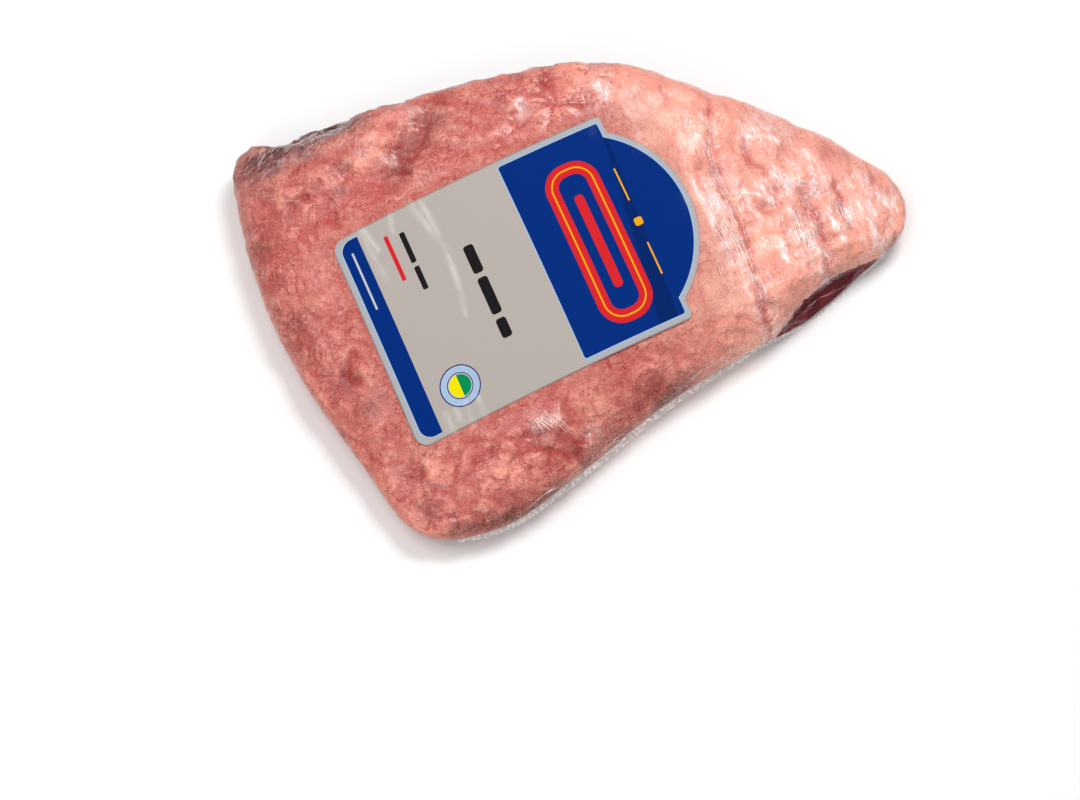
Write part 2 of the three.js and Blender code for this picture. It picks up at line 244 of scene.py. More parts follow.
def wander(points, pitch, reach, seed):
    """The points, each moved a little, so that what is drawn from them has no straight lines."""
    return points + reach * np.stack([noise(points, pitch, seed + axis) for axis in range(3)], axis=1)


def lobules(points, pitch, groove, seed):
    """Rounded cells with grooves between them: 0 in a groove, 1 on top."""
    place = points / pitch
    cell = np.floor(place)
    first = np.full(len(points), np.inf)
    second = first
    for step in np.ndindex(3, 3, 3):
        near = cell + np.subtract(step, 1)
        centre = near + np.stack([cell_value(near, seed + axis) for axis in range(3)], axis=1)
        distance = np.linalg.norm(place - centre, axis=1)
        second = np.minimum(second, np.maximum(distance, first))
        first = np.minimum(first, distance)
    return smooth(second - first, 0, groove)


def spots(points, marks):
    """1 in the middle of a mark, falling to 0 outside it."""
    total = np.zeros(len(points))
    for x, y, radius in marks:
        distance = np.hypot(points[:, 0] - x * MM, points[:, 1] - y * MM)
        total = np.maximum(total, np.exp(-((distance / (radius * MM)) ** 2)))
    return total


def strokes(points, lines, width):
    """1 along lines drawn in plan, falling to 0 about a width away from them."""
    plan = points[:, :2]
    total = np.zeros(len(points))
    for line in lines:
        for start, end in zip(line, line[1:]):
            start = np.array(start) * MM
            run = np.array(end) * MM - start
            share = np.clip((plan - start) @ run / (run @ run), 0, 1)
            distance = np.linalg.norm(plan - start - share[:, None] * run, axis=1)
            total = np.maximum(total, np.exp(-((distance / width) ** 2)))
    return total


def on_label(points):
    """Where points are in the label's own frame: along it and across it."""
    x, y = points[:, 0] - LABEL_MIDDLE[0], points[:, 1] - LABEL_MIDDLE[1]
    c, s = math.cos(LABEL_TURN), math.sin(LABEL_TURN)
    across = c * y - s * x
    return c * x + s * y - LABEL_SKEW * across, across


def piece_from(name, shape):
    """A new piece from a bmesh."""
    mesh = bpy.data.meshes.new(name)
    shape.to_mesh(mesh)
    shape.free()
    piece = bpy.data.objects.new(name, mesh)
    scene.collection.objects.link(piece)
    return piece


def merged_copy(name, *nodes):
    """A new piece from copies of CAD nodes, with each one's loose triangles joined up."""
    shape = bmesh.new()
    for node in nodes:
        shape.from_mesh(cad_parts[node].data)
    bmesh.ops.remove_doubles(shape, verts=shape.verts, dist=0.01 * MM)
    return piece_from(name, shape)


def apply_modifiers(piece):
    """Turns what the modifiers make into the piece's own mesh."""
    graph = bpy.context.evaluated_depsgraph_get()
    finished = bpy.data.meshes.new_from_object(piece.evaluated_get(graph))
    finished.name = piece.name
    piece.modifiers.clear()
    piece.data = finished


def even_mesh(piece, size):
    """Gives a piece faces of one size."""
    remesh = piece.modifiers.new("Even mesh", "REMESH")
    remesh.mode = "VOXEL"
    remesh.voxel_size = size
    remesh.use_smooth_shade = True
    apply_modifiers(piece)


def points_of(piece):
    points = np.empty(len(piece.data.vertices) * 3)
    piece.data.vertices.foreach_get("co", points)
    return points.reshape(-1, 3)


def normals_of(piece):
    normals = np.empty(len(piece.data.vertices) * 3)
    piece.data.vertex_normals.foreach_get("vector", normals)
    return normals.reshape(-1, 3)


def place_points(piece, points):
    piece.data.vertices.foreach_set("co", points.ravel())
    piece.data.update()


def edges_of(piece):
    """Each edge as two points, and once more the other way round."""
    edges = np.empty(len(piece.data.edges) * 2, np.int32)
    piece.data.edges.foreach_get("vertices", edges)
    edges = edges.reshape(-1, 2)
    return np.concatenate([edges, edges[:, ::-1]])


def relaxed(values, edges, rounds):
    """The values after each has moved to the mean of its neighbours' so many times."""
    count = len(values)
    neighbours = np.bincount(edges[:, 0], minlength=count)
    columns = values.reshape(count, -1).T
    for _ in range(rounds):
        columns = [np.bincount(edges[:, 0], column[edges[:, 1]], count) / neighbours for column in columns]
    return np.stack(columns, axis=1).reshape(values.shape)


def smooth_form(name, size, *nodes):
    """A piece from CAD nodes with even faces and no facets, its edges, its points and their normals."""
    piece = merged_copy(name, *nodes)
    even_mesh(piece, size)
    edges = edges_of(piece)
    points = relaxed(points_of(piece), edges, FACET_ROUNDS)
    place_points(piece, points)
    return piece, edges, points, normals_of(piece)


def paint(piece, name, values):
    """Keeps a number for each point, which the materials read."""
    attribute = piece.data.attributes.new(name, "FLOAT", "POINT")
    attribute.data.foreach_set("value", values.astype(np.float32))


def thin_out(piece, hidden, most):
    """Leaves fewer faces where a piece is hidden, so that it has at most so many triangles."""
    group = piece.vertex_groups.new(name="hidden")
    group.add(np.flatnonzero(hidden).tolist(), 1, "REPLACE")
    piece.data.calc_loop_triangles()
    thinner = piece.modifiers.new("Thinner", "DECIMATE")
    thinner.vertex_group = group.name
    thinner.ratio = most / len(piece.data.loop_triangles)
    apply_modifiers(piece)


def out_of_label(points):
    """0 under the label, 1 well clear of it."""
    along, across = on_label(points)
    label_along, label_across = on_label(points_of(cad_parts["label"]))
    past = np.maximum(np.abs(along) - label_along.max(), np.abs(across) - label_across.max())
    return smooth(past, 1 * MM, 7 * MM)


def calm_end(points):
    """0 at the lumpy wide end, 1 towards the tip, where the fat is smooth."""
    return smooth(points[:, 0] + 0.2 * points[:, 1], 20 * MM, 75 * MM)


def hand_drawn(points):
    """The points, moved so that the furrows and ridges drawn from them waver."""
    return wander(points, 6 * MM, 1.5 * MM, 53)


def fat_relief(points):
    """How far the fat stands out from its smooth form: lobules of several sizes, seams and pits."""
    rough = 1 - calm_end(points)
    bent = wander(points, 14 * MM, 4 * MM, 3)
    broad = lobules(bent, 11 * MM, 0.4, 5)
    small = lobules(wander(bent, 5 * MM, 1.6 * MM, 13), 4.4 * MM, 0.45, 17)
    patchy = smooth(noise(points, 30 * MM, 41), -0.35, 0.55)
    seam = 1 - smooth(np.abs(noise(bent, 19 * MM, 61)), 0.0, 0.09)
    height = LOBULE_HEIGHT * (broad - 0.8) * (0.3 + 0.7 * rough) * (0.25 + 0.75 * patchy)
    height += CURD_HEIGHT * (small - 0.8) * (0.4 + 0.6 * rough) * (0.4 + 0.6 * patchy)
    height += GRAIN_HEIGHT * noise(points, 2.4 * MM, 23)
    height -= SEAM_DEPTH * seam * rough
    height -= PIT_DEPTH * spots(points, BLOOD_SPOTS) * (0.4 + 0.6 * rough)
    drawn = hand_drawn(points)
    height -= FURROW_DEPTH * strokes(drawn, FURROWS, 1.6 * MM)
    height += RIDGE_HEIGHT * strokes(drawn, RIDGES, 3 * MM)
    height += BULGE_HEIGHT * spots(points, CORNER_BULGE)
    return height


def paint_fat(piece, points, normals):
    """The fat's marks: what its material needs to know about each point."""
    paint(piece, "calm", calm_end(points))
    # Painted shade along the furrows, where the main folds sink in
    paint(piece, "furrow_shade", strokes(hand_drawn(points), FURROWS, 1.8 * MM))
    bent = wander(wander(points, 7 * MM, 3 * MM, 71), 2.5 * MM, 1.2 * MM, 72)
    paint(piece, "bruise", np.maximum(spots(bent, BRUISES), strokes(bent, VALLEY, 6 * MM)))
    paint(piece, "blood", spots(bent, BLOOD_SPOTS) * (1 - 0.6 * calm_end(points)))
    paint(piece, "pale", spots(bent, PALE_AND_SHEEN_PATCHES))
    paint(piece, "corner", strokes(bent, FAR_CORNER, 9 * MM))
    # Painted shade, with the lean showing through: the steep far side and the edges' strokes turn darker
    # brown
    steep = 1 - smooth(normals[:, 2], 0.35, 0.85)
    far = smooth(points[:, 1], 60 * MM, 95 * MM) * steep
    rim = np.maximum(strokes(bent, FAR_RIM, 4 * MM), far * (1 - calm_end(points)))
    rim = np.maximum(rim, 0.8 * strokes(bent, NEAR_RIM, 2 * MM))
    patchy = smooth(noise(points, 15 * MM, 81), -0.5, 0.3)
    paint(piece, "rim", np.maximum(rim, strokes(points, SEAL_RIM, 3 * MM) * patchy))


def fat_piece():
    """The fat cap, with its relief and its marks."""
    piece, edges, points, normals = smooth_form("fat", FAT_MESH, "fat_cap")
    free = out_of_label(points) * smooth(normals[:, 2], -0.4, 0)
    points = points + normals * (fat_relief(points) * free)[:, None]
    place_points(piece, points)
    # How deep each point lies in a hollow of the relief: it paints shade into the hollows and a highlight
    # onto the crests
    hollow_shade = np.sum((relaxed(points, edges, LUMP_ROUNDS) - points) * normals, axis=1) / MM
    paint(piece, "hollow_shade", smooth(hollow_shade, 0.02, 0.45))
    paint(piece, "crest_highlight", smooth(-hollow_shade, 0.05, 0.45))
    paint_fat(piece, points, normals)
    thin_out(piece, normals[:, 2] < -0.5, MOST_TRIANGLES)
    return piece


def lean_piece():
    """The lean meat: a fibrous surface."""
    piece, _, points, normals = smooth_form("lean", LEAN_MESH, "lean_meat")
    height = FIBRE_HEIGHT * noise(points * (0.35, 1, 1), 5 * MM, 7)
    height += FINE_FIBRE_HEIGHT * noise(points * (0.3, 1, 1), 2.5 * MM, 8)
    points = points + normals * (height - LEAN_INSET)[:, None]
    points[:, 2] = np.maximum(points[:, 2], LEAN_FOOT)
    place_points(piece, points)
    return piece


def top_surface():
    """The smooth top that the label follows, as a function of x and y, from the label's own solid."""
    node = points_of(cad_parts["label"])
    x, y, z = node.T
    terms = np.stack([np.ones(len(x)), x, y, x * x, y * y], axis=1)
    upper = z > terms @ np.linalg.lstsq(terms, z, rcond=None)[0]
    fitted = np.linalg.lstsq(terms[upper], z[upper], rcond=None)[0]
    return lambda x, y: fitted @ (np.ones_like(x), x, y, x * x, y * y)


def arc(x, y, radius, first, last, steps):
    """Points along an arc, from one angle to another."""
    return [(x + radius * math.cos(a), y + radius * math.sin(a)) for a in np.linspace(first, last, steps)]


def label_outline(half_length, half_width):
    """The label's outline: round corners, and a dome on a shorter chord at one end."""
    shoulder = half_length - LABEL_RISE
    radius = (LABEL_CHORD**2 / 4 + LABEL_RISE**2) / (2 * LABEL_RISE)
    opening = math.asin(LABEL_CHORD / 2 / radius)
    quarter = math.pi / 2
    small, large = LABEL_SHOULDER_CORNER, LABEL_CORNER
    return [
        *arc(shoulder - small, small - half_width, small, -quarter, 0, SHOULDER_POINTS),
        *arc(half_length - radius, 0, radius, -opening, opening, DOME_POINTS),
        *arc(shoulder - small, half_width - small, small, 0, quarter, SHOULDER_POINTS),
        *arc(large - half_length, half_width - large, large, quarter, 2 * quarter, CORNER_POINTS),
        *arc(large - half_length, large - half_width, large, 2 * quarter, 3 * quarter, CORNER_POINTS),
    ]


def label_piece():
    """The printed label: a thin sheet on the fat, with its own frame as its UV map in metres."""
    along, across = on_label(points_of(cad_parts["label"]))
    half_length, half_width = along.max(), across.max()
    shape = bmesh.new()
    shape.faces.new([shape.verts.new((x, y, 0)) for x, y in label_outline(half_length, half_width)])
    for axis, half in ((Vector((1, 0, 0)), half_length), (Vector((0, 1, 0)), half_width)):
        for offset in np.arange(-half + LABEL_MESH, half, LABEL_MESH):
            parts = [*shape.verts, *shape.edges, *shape.faces]
            bmesh.ops.bisect_plane(shape, geom=parts, plane_co=axis * offset, plane_no=axis)
    frame_map = shape.loops.layers.uv.new("label")
    for face in shape.faces:
        for loop in face.loops:
            loop[frame_map].uv = (loop.vert.co.x, loop.vert.co.y)
    skewed = Matrix(((1, LABEL_SKEW, 0, 0), (0, 1, 0, 0), (0, 0, 1, 0), (0, 0, 0, 1)))
    turned = Matrix.Translation((*LABEL_MIDDLE, 0)) @ Matrix.Rotation(LABEL_TURN, 4, "Z")
    bmesh.ops.transform(shape, matrix=turned @ skewed, verts=shape.verts)
    top = top_surface()
    for vert in shape.verts:
        vert.co.z = top(vert.co.x, vert.co.y) - LABEL_SINK
    piece = piece_from("label_print", shape)
    wall = piece.modifiers.new("Wall", "SOLIDIFY")
    wall.thickness = LABEL_THICKNESS
    wall.offset = 1
    apply_modifiers(piece)
    piece.data.shade_smooth()
    piece.data.set_sharp_from_angle(angle=math.radians(40))
    return piece


def surface_tree(piece):
    return BVHTree.FromObject(piece, bpy.context.evaluated_depsgraph_get())


def nearest(points, tree, clearance=0.0):
    """For each point, how far outside a surface it is, and its foot there, lifted by a clearance."""
    outside = np.empty(len(points))
    foot = np.empty((len(points), 3))
    for i, point in enumerate(points):
        place, normal, _, distance = tree.find_nearest(point)
        foot[i] = place + normal * clearance
        outside[i] = math.copysign(distance, (Vector(point) - place).dot(normal))
    return outside, foot


def kept_outside(points, trees):
    """The points, with those that are too close to the contents or inside them lifted off."""
    for tree in trees:
        outside, foot = nearest(points, tree, FILM_CLEARANCE)
        short = (outside < FILM_CLEARANCE) & (outside > -FILM_LIFT)
        points = np.where(short[:, None], foot, points)
    return points


def laid_over(points, normals, tree):
    """The points, with those that are below a sheet lifted onto it."""
    lifted = points.copy()
    for i in np.flatnonzero(normals[:, 2] > FILM_TOP_SIDE):
        hit = tree.ray_cast((*points[i, :2], 1), (0, 0, -1))[0]
        if hit:
            lifted[i, 2] = max(points[i, 2], hit.z + FILM_CLEARANCE)
    return lifted


def off_contents(points, normals, trees):
    """The points, with those in or under the fat, the lean meat or the label lifted off them."""
    *meats, label = trees
    return laid_over(kept_outside(points, meats), normals, label)


def film_piece(fat, lean, label):
    """The skin-tight film: it follows the fat's lumps, and has wrinkles of its own."""
    piece, edges, points, normals = smooth_form("film", FILM_MESH, "fat_cap", "lean_meat")
    free = out_of_label(points)
    crumpled = spots(points, CRUMPLES)
    wrinkle = noise(wander(points, 5 * MM, 2 * MM, 7), 2.8 * MM, 31)
    height = fat_relief(points) * free * smooth(normals[:, 2], -0.4, 0)
    height += WRINKLE_HEIGHT * wrinkle + CRUMPLE_HEIGHT * crumpled * (1 - 3 * np.abs(wrinkle))
    points = points + normals * (FILM_CLEARANCE + height)[:, None]
    trees = [surface_tree(content) for content in (fat, lean, label)]
    points = relaxed(off_contents(points, normals, trees), edges, 1)
    points = off_contents(points, normals, trees)
    points[:, 2] = np.maximum(points[:, 2], FILM_FOOT)
    place_points(piece, points)
    on_fat = smooth(nearest(points, trees[0])[0] - nearest(points, trees[1])[0], 1.0 * MM, -0.5 * MM)
    upward = smooth(normals[:, 2], 0.0, 0.6)
    paint(piece, "gloss", free * (0.1 + 0.9 * on_fat) * (0.25 + 0.75 * upward))
    bent = wander(points, 6 * MM, 3 * MM, 33)
    # Painted sheen: milky white on the veils and along the raised ridges
    ridges = strokes(wander(points, 4 * MM, 1 * MM, 34), RIDGES, 2 * MM)
    sheen_veil = np.maximum(0.75 * spots(bent, SHEEN_VEILS), ridges) * (0.3 + 0.7 * free) * on_fat
    paint(piece, "sheen_veil", sheen_veil)
    paint(piece, "crumple", crumpled * free * on_fat)
    paint(piece, "label_sheen_streak", strokes(points, LABEL_STREAKS, 1.3 * MM))
    paint(piece, "corner", strokes(wander(points, 8 * MM, 3 * MM, 91), FAR_CORNER, 9 * MM) * on_fat)
    paint(piece, "calm", calm_end(points) * free * on_fat)
    thin_out(piece, points[:, 2] < 1.5 * FILM_FOOT, MOST_TRIANGLES)
    return piece


def along_line(line, share):
    """The point at a share of a line's length, for each share."""
    line = np.array(line, float)
    length = np.insert(np.cumsum(np.linalg.norm(np.diff(line, axis=0), axis=1)), 0, 0)
    return np.stack([np.interp(share * length[-1], length, line[:, axis]) for axis in (0, 1)], axis=1)


def creases():
    """Each crease as points in plan, and its width: every fan's lines lie between two drawn ones."""
    draw = np.random.default_rng(11)
    for first, last, count, cover, width in CREASE_FANS:
        for number in range(count):
            across = (number + draw.uniform(0.1, 0.9)) / count
            covered = min(1, cover * draw.uniform(0.6, 1.4))
            start = draw.uniform(0, 1 - covered)
            share = np.linspace(start, start + covered, CREASE_POINTS)
            line = ((1 - across) * along_line(first, share) + across * along_line(last, share)) * MM
            length = np.sum(np.linalg.norm(np.diff(line, axis=0), axis=1))
            steps = max(5, round(length / CREASE_STEP))
            line = line[np.linspace(0, CREASE_POINTS - 1, steps).round().astype(int)]
            points = np.column_stack([line, np.full(steps, number * 10 * MM)])
            yield wander(points, 7 * MM, 0.9 * MM, 43), width * draw.uniform(0.6, 1.3) * MM


def crease_piece(name, film, beside):
    """The film's pinched creases: fine raised threads that lie on it and fade out at both ends."""
    tree = surface_tree(film)
    curve = bpy.data.curves.new(name, "CURVE")
    curve.dimensions = "3D"
    curve.bevel_depth = 1
    curve.bevel_resolution = 1
    curve.use_fill_caps = True
    for line, width in creases():
        aside = beside * width
        hits = [tree.ray_cast((x - aside, y - aside, 1), (0, 0, -1)) for x, y, _ in line]
        hits = [place for place, normal, _, _ in hits if place and normal.z > FILM_TOP_SIDE]
        if len(hits) < 4:
            continue
        spline = curve.splines.new("POLY")
        spline.points.add(len(hits) - 1)
        for i, hit in enumerate(hits):
            spline.points[i].co = (*hit, 1)
            spline.points[i].radius = width / 2 * (0.15 + 0.85 * math.sin(math.pi * i / (len(hits) - 1)))
    piece = bpy.data.objects.new(name, curve)
    scene.collection.objects.link(piece)
    graph = bpy.context.evaluated_depsgraph_get()
    mesh = bpy.data.meshes.new_from_object(piece.evaluated_get(graph))
    bpy.data.objects.remove(piece)
    piece = bpy.data.objects.new(name, mesh)
    scene.collection.objects.link(piece)
    points = points_of(piece)
    foot = nearest(points, tree)[1]
    place_points(piece, foot + CREASE_FLATNESS * (points - foot))
    piece.data.shade_smooth()
    return piece


def hem_piece():
    """The film's trimmed seal, crinkled along its length."""
    piece = merged_copy("film_seal", "film_hem")
    finer = piece.modifiers.new("Finer", "SUBSURF")
    finer.subdivision_type = "SIMPLE"
    finer.levels = finer.render_levels = 2
    apply_modifiers(piece)
    points = points_of(piece)
    points = relaxed(points, edges_of(piece), 2)
    crinkle = SEAL_CRINKLE * noise(points, 3 * MM, 51) + SEAL_FINE_CRINKLE * noise(points, 1.3 * MM, 52)
    points[:, 2] += crinkle
    place_points(piece, points)
    piece.data.shade_smooth()
    return piece


def srgb(r, g, b):
    """A colour seen on a screen, from 0 to 255, as the light that a shader works in."""
    linear = [c / 255 / 12.92 if c <= 10 else ((c / 255 + 0.055) / 1.055) ** 2.4 for c in (r, g, b)]
    return (*linear, 1)


class Finish:
    """A material, with one short call for each kind of node that the finishes use."""

    def __init__(self, name):
        self.material = bpy.data.materials.new(name)
        self.material.use_nodes = True
        self.tree = self.material.node_tree
        self.tree.nodes.clear()
        self.place = self.add("ShaderNodeTexCoord").outputs["Object"]

    def add(self, kind, inputs=(), **settings):
        node = self.tree.nodes.new(kind)
        for name, value in settings.items():
            setattr(node, name, value)
        for key, value in dict(inputs).items():
            self.feed(node.inputs[key], value)
        return node

    def feed(self, socket, value):
        if isinstance(value, bpy.types.NodeSocket):
            self.tree.links.new(value, socket)
        else:
            socket.default_value = value

    def noise(self, pitch, place=None, detail=3, rough=0.5):
        """Noise from 0 to 1 with bumps about a pitch apart."""
        inputs = {"Vector": place or self.place, "Scale": 1 / pitch, "Detail": detail, "Roughness": rough}
        return self.add("ShaderNodeTexNoise", inputs).outputs["Fac"]

    def off_lines(self, pitch, place, detail, rough):
        """0 along winding lines about a pitch apart, and up to 0.5 between them."""
        return self.maths("ABSOLUTE", self.plus(self.noise(pitch, place, detail, rough), -0.5))

    def warped(self, pitch, reach, place=None):
        """The place of each point, moved about by a noise."""
        place = place or self.place
        inputs = {"Vector": place, "Scale": 1 / pitch, "Detail": 2}
        colour = self.add("ShaderNodeTexNoise", inputs).outputs["Color"]
        moved = self.vector("SUBTRACT", colour, (0.5, 0.5, 0.5))
        return self.vector("ADD", place, self.vector("MULTIPLY", moved, (2 * reach,) * 3))

    def turned(self, angle, stretch, place=None):
        """The place of each point, turned about the vertical and squeezed along the new first axis."""
        inputs = {"Vector": place or self.place, "Rotation": (0, 0, -angle)}
        turned = self.add("ShaderNodeMapping", inputs).outputs[0]
        inputs = {"Vector": turned, "Scale": (1 / stretch, 1, 1)}
        return self.add("ShaderNodeMapping", inputs).outputs[0]

    def painted(self, name):
        """The number that was painted on the piece's points under this name."""
        return self.add("ShaderNodeAttribute", attribute_name=name).outputs["Fac"]

    def step(self, value, low, high, start=0.0, end=1.0):
        """start below low, end above high, and a soft step between them."""
        inputs = {"Value": value, "From Min": low, "From Max": high, "To Min": start, "To Max": end}
        return self.add("ShaderNodeMapRange", inputs, interpolation_type="SMOOTHSTEP").outputs["Result"]

    def maths(self, operation, *values):
        return self.add("ShaderNodeMath", dict(enumerate(values)), operation=operation).outputs[0]

    def times(self, *values):
        total = values[0]
        for value in values[1:]:
            total = self.maths("MULTIPLY", total, value)
        return total

    def plus(self, *values):
        total = values[0]
        for value in values[1:]:
            total = self.maths("ADD", total, value)
        return total

    def mixed(self, share, first, second):
        """Two colours mixed by a share."""
        inputs = {0: share, 6: first, 7: second}
        return self.add("ShaderNodeMix", inputs, data_type="RGBA").outputs[2]

    def tinted(self, colour, ink, *shares):
        """The colour with as much ink in it as the shares multiply to."""
        return self.mixed(self.times(*shares), colour, ink)

    def bump(self, height, distance, strength):
        inputs = {"Height": height, "Distance": distance, "Strength": strength}
        return self.add("ShaderNodeBump", inputs).outputs["Normal"]

    def vector(self, operation, *values):
        return self.add("ShaderNodeVectorMath", dict(enumerate(values)), operation=operation).outputs[0]

    def plate(self, place, middle, half, corner):
        """How far a point is outside a rectangle with round corners: below 0 inside it."""
        away = self.vector("ABSOLUTE", self.vector("SUBTRACT", place, (*middle, 0)))
        past = self.vector("SUBTRACT", away, (half[0] - corner, half[1] - corner, 0))
        past = self.vector("MAXIMUM", past, (0, 0, 0))
        length = self.add("ShaderNodeVectorMath", {0: past}, operation="LENGTH").outputs["Value"]
        return self.maths("SUBTRACT", length, corner)

    def overlap(self, first, second):
        """How far a point is outside what two shapes share."""
        return self.maths("MAXIMUM", first, second)

    def joined(self, first, second):
        """How far a point is outside two shapes together."""
        return self.maths("MINIMUM", first, second)

    def along_edge(self, outside, half_width):
        """How far a point is outside a line along a shape's edge."""
        return self.plus(self.maths("ABSOLUTE", outside), -half_width)

    def from_point(self, place, middle):
        """How far a point is from another."""
        inputs = {0: place, 1: (*middle, 0)}
        return self.add("ShaderNodeVectorMath", inputs, operation="DISTANCE").outputs["Value"]

    def printed(self, colour, outside, ink):
        """The colour with ink on it wherever a distance is below 0."""
        return self.mixed(self.step(outside, INK_SOFTNESS, -INK_SOFTNESS), colour, ink)

    def surface(self, shader):
        self.tree.links.new(shader, self.add("ShaderNodeOutputMaterial").inputs["Surface"])
        return self.material


FAT_PINK = srgb(206, 127, 116)
# Cream of the fat; it also carries painted sheen and painted highlights
FAT_CREAM_AND_SHEEN = srgb(252, 190, 168)
FAT_ROSE = srgb(188, 89, 83)
# Red of the fat's grooves; it also carries painted shade in the hollows and furrows
FAT_GROOVE_RED_AND_SHADE = srgb(182, 64, 52)
VEIN_RED = srgb(158, 36, 34)
BRUISE = srgb(116, 48, 58)
BLOOD = srgb(154, 26, 32)
# Brown of the lean showing through at the rims, and painted shade there
RIM_BROWN_AND_SHADE = srgb(102, 40, 36)
CORNER_MAUVE = srgb(84, 43, 42)
PLEAT_SHADE = srgb(52, 30, 34)

# What is painted on the fat's points, how strongly it shows, and in which colour
FAT_MARKS = (
    ("furrow_shade", 0.75, FAT_GROOVE_RED_AND_SHADE), ("bruise", 0.5, BRUISE), ("blood", 0.65, BLOOD),
    ("rim", 0.8, RIM_BROWN_AND_SHADE), ("corner", 0.85, CORNER_MAUVE),
)

# Two nets of veins: their pitch, the pitch of their patches, their width in pitches, their strength
VEIN_NETS = ((12 * MM, 17 * MM, 0.016, 0.6), (5 * MM, 9 * MM, 0.024, 0.4))


def fat_finish():
    """Moist pink fat: mottled curd, fine red speckle, red and painted shade in the grooves, and broken
    veins.
    """
    f = Finish("fat")
    calm = f.painted("calm")
    rough = f.maths("SUBTRACT", 1.0, f.times(calm, 0.55))
    bent = f.warped(9 * MM, 3 * MM)
    mottle = f.step(f.noise(22 * MM, bent, 4, 0.6), 0.36, 0.64, 0.3, 0.95)
    drift = f.noise(6 * MM, f.turned(FILM_PULL, 2.6, bent), 5, 0.62)
    patch = f.step(f.noise(13 * MM, detail=2), 0.35, 0.62, 0.25, 1)
    billow = f.off_lines(5 * MM, f.warped(3 * MM, 1 * MM, bent), 3, 0.55)
    grain = f.noise(1 * MM, f.warped(2.2 * MM, 1 * MM, bent), 4, 0.75)
    ragged = f.step(grain, 0.3, 0.62, 0.45, 1)
    pleat = f.noise(1.1 * MM, f.turned(CORNER_PULL, 5, bent), 2, 0.5)
    colour = f.mixed(mottle, FAT_ROSE, FAT_PINK)
    # Paler towards the tip: the smooth fat's own cream, and in part the film's sheen painted into its
    # colour
    colour = f.tinted(colour, FAT_CREAM_AND_SHEEN, calm, 0.6)
    colour = f.tinted(colour, FAT_ROSE, f.step(drift, 0.5, 0.64), calm, 0.4)
    colour = f.tinted(colour, FAT_CREAM_AND_SHEEN, f.step(drift, 0.46, 0.34), calm, 0.5)
    colour = f.tinted(colour, FAT_CREAM_AND_SHEEN, f.step(billow, 0.06, 0.2), rough, patch, 0.28)
    colour = f.tinted(colour, FAT_GROOVE_RED_AND_SHADE, f.step(billow, 0.03, 0.0), rough, patch, 0.5)
    # Painted highlight: cream on the crests of the relief
    colour = f.tinted(colour, FAT_CREAM_AND_SHEEN, f.painted("crest_highlight"), 0.35)
    # Paler fat and painted sheen in the pale patches
    colour = f.tinted(colour, FAT_CREAM_AND_SHEEN, f.painted("pale"), 0.65)
    # Painted shade: groove red in the hollows of the relief
    colour = f.tinted(colour, FAT_GROOVE_RED_AND_SHADE, f.painted("hollow_shade"), rough, rough, 0.5)
    colour = f.tinted(colour, FAT_ROSE, f.step(grain, 0.5, 0.6), rough, 0.42)
    colour = f.tinted(colour, FAT_CREAM_AND_SHEEN, f.step(grain, 0.46, 0.38), rough, 0.35)
    for pitch, patch_pitch, width, strength in VEIN_NETS:
        line = f.off_lines(pitch, f.warped(pitch, 0.3 * pitch), 4, 0.55)
        where = f.step(f.noise(patch_pitch, bent, 3, 0.7), 0.44, 0.56)
        shown = f.times(where, rough, rough, rough, strength)
        colour = f.tinted(colour, VEIN_RED, f.step(line, width, 0.3 * width), shown)
    for name, strength, ink in FAT_MARKS:
        colour = f.tinted(colour, ink, f.painted(name), ragged, strength)
    # Painted shade in the valleys of the corner's pleats
    colour = f.tinted(colour, PLEAT_SHADE, f.painted("corner"), f.step(pleat, 0.46, 0.4), 0.8)
    height = f.plus(f.times(grain, -0.3), f.step(billow, 0.0, 0.2), f.step(line, 0.0, 0.08, 0, 0.5))
    shader = f.add("ShaderNodeBsdfPrincipled", {
        "Base Color": colour,
        "Roughness": 0.55,
        "Specular IOR Level": 0.15,
        "Subsurface Weight": 0.15,
        "Subsurface Radius": (1.0, 0.4, 0.28),
        "Subsurface Scale": 0.8 * MM,
        "Normal": f.bump(height, 0.45 * MM, 0.8),
    })
    return f.surface(shader.outputs[0])


LEAN_RED = srgb(122, 14, 30)
LEAN_DARK = srgb(80, 6, 18)
LEAN_SINEW = srgb(164, 76, 84)


def lean_finish():
    """Dark red meat with upright fibres and a few pale sinews."""
    f = Finish("lean")
    upright = f.add("ShaderNodeMapping", {"Vector": f.warped(9 * MM, 1.5 * MM), "Scale": (1, 1, 0.14)})
    fibres = f.noise(0.9 * MM, upright.outputs[0], 3, 0.55)
    colour = f.mixed(f.step(f.noise(12 * MM, detail=4), 0.35, 0.65), LEAN_DARK, LEAN_RED)
    colour = f.mixed(f.step(fibres, 0.58, 0.72, 0, 0.35), colour, LEAN_SINEW)
    shader = f.add("ShaderNodeBsdfPrincipled", {
        "Base Color": colour,
        "Roughness": 0.6,
        "Specular IOR Level": 0.08,
        "Subsurface Weight": 0.15,
        "Subsurface Radius": (1.0, 0.25, 0.2),
        "Subsurface Scale": 1.2 * MM,
        "Normal": f.bump(fibres, 0.25 * MM, 0.7),
    })
    return f.surface(shader.outputs[0])


LABEL_GREY = srgb(176, 168, 161)
LABEL_RIM = srgb(168, 170, 175)
LABEL_EDGE_SHADOW = srgb(128, 120, 120)
LABEL_LINE = srgb(160, 186, 214)
LABEL_BLUE = srgb(0, 43, 120)
LABEL_FOLD_SHADE = srgb(0, 36, 100)
LABEL_RED = srgb(206, 36, 42)
LABEL_YELLOW = srgb(234, 164, 10)
LABEL_LEMON = srgb(234, 220, 0)
LABEL_GREEN = srgb(0, 136, 80)
LABEL_PALE = srgb(190, 192, 200)
LABEL_BLACK = srgb(28, 25, 28)

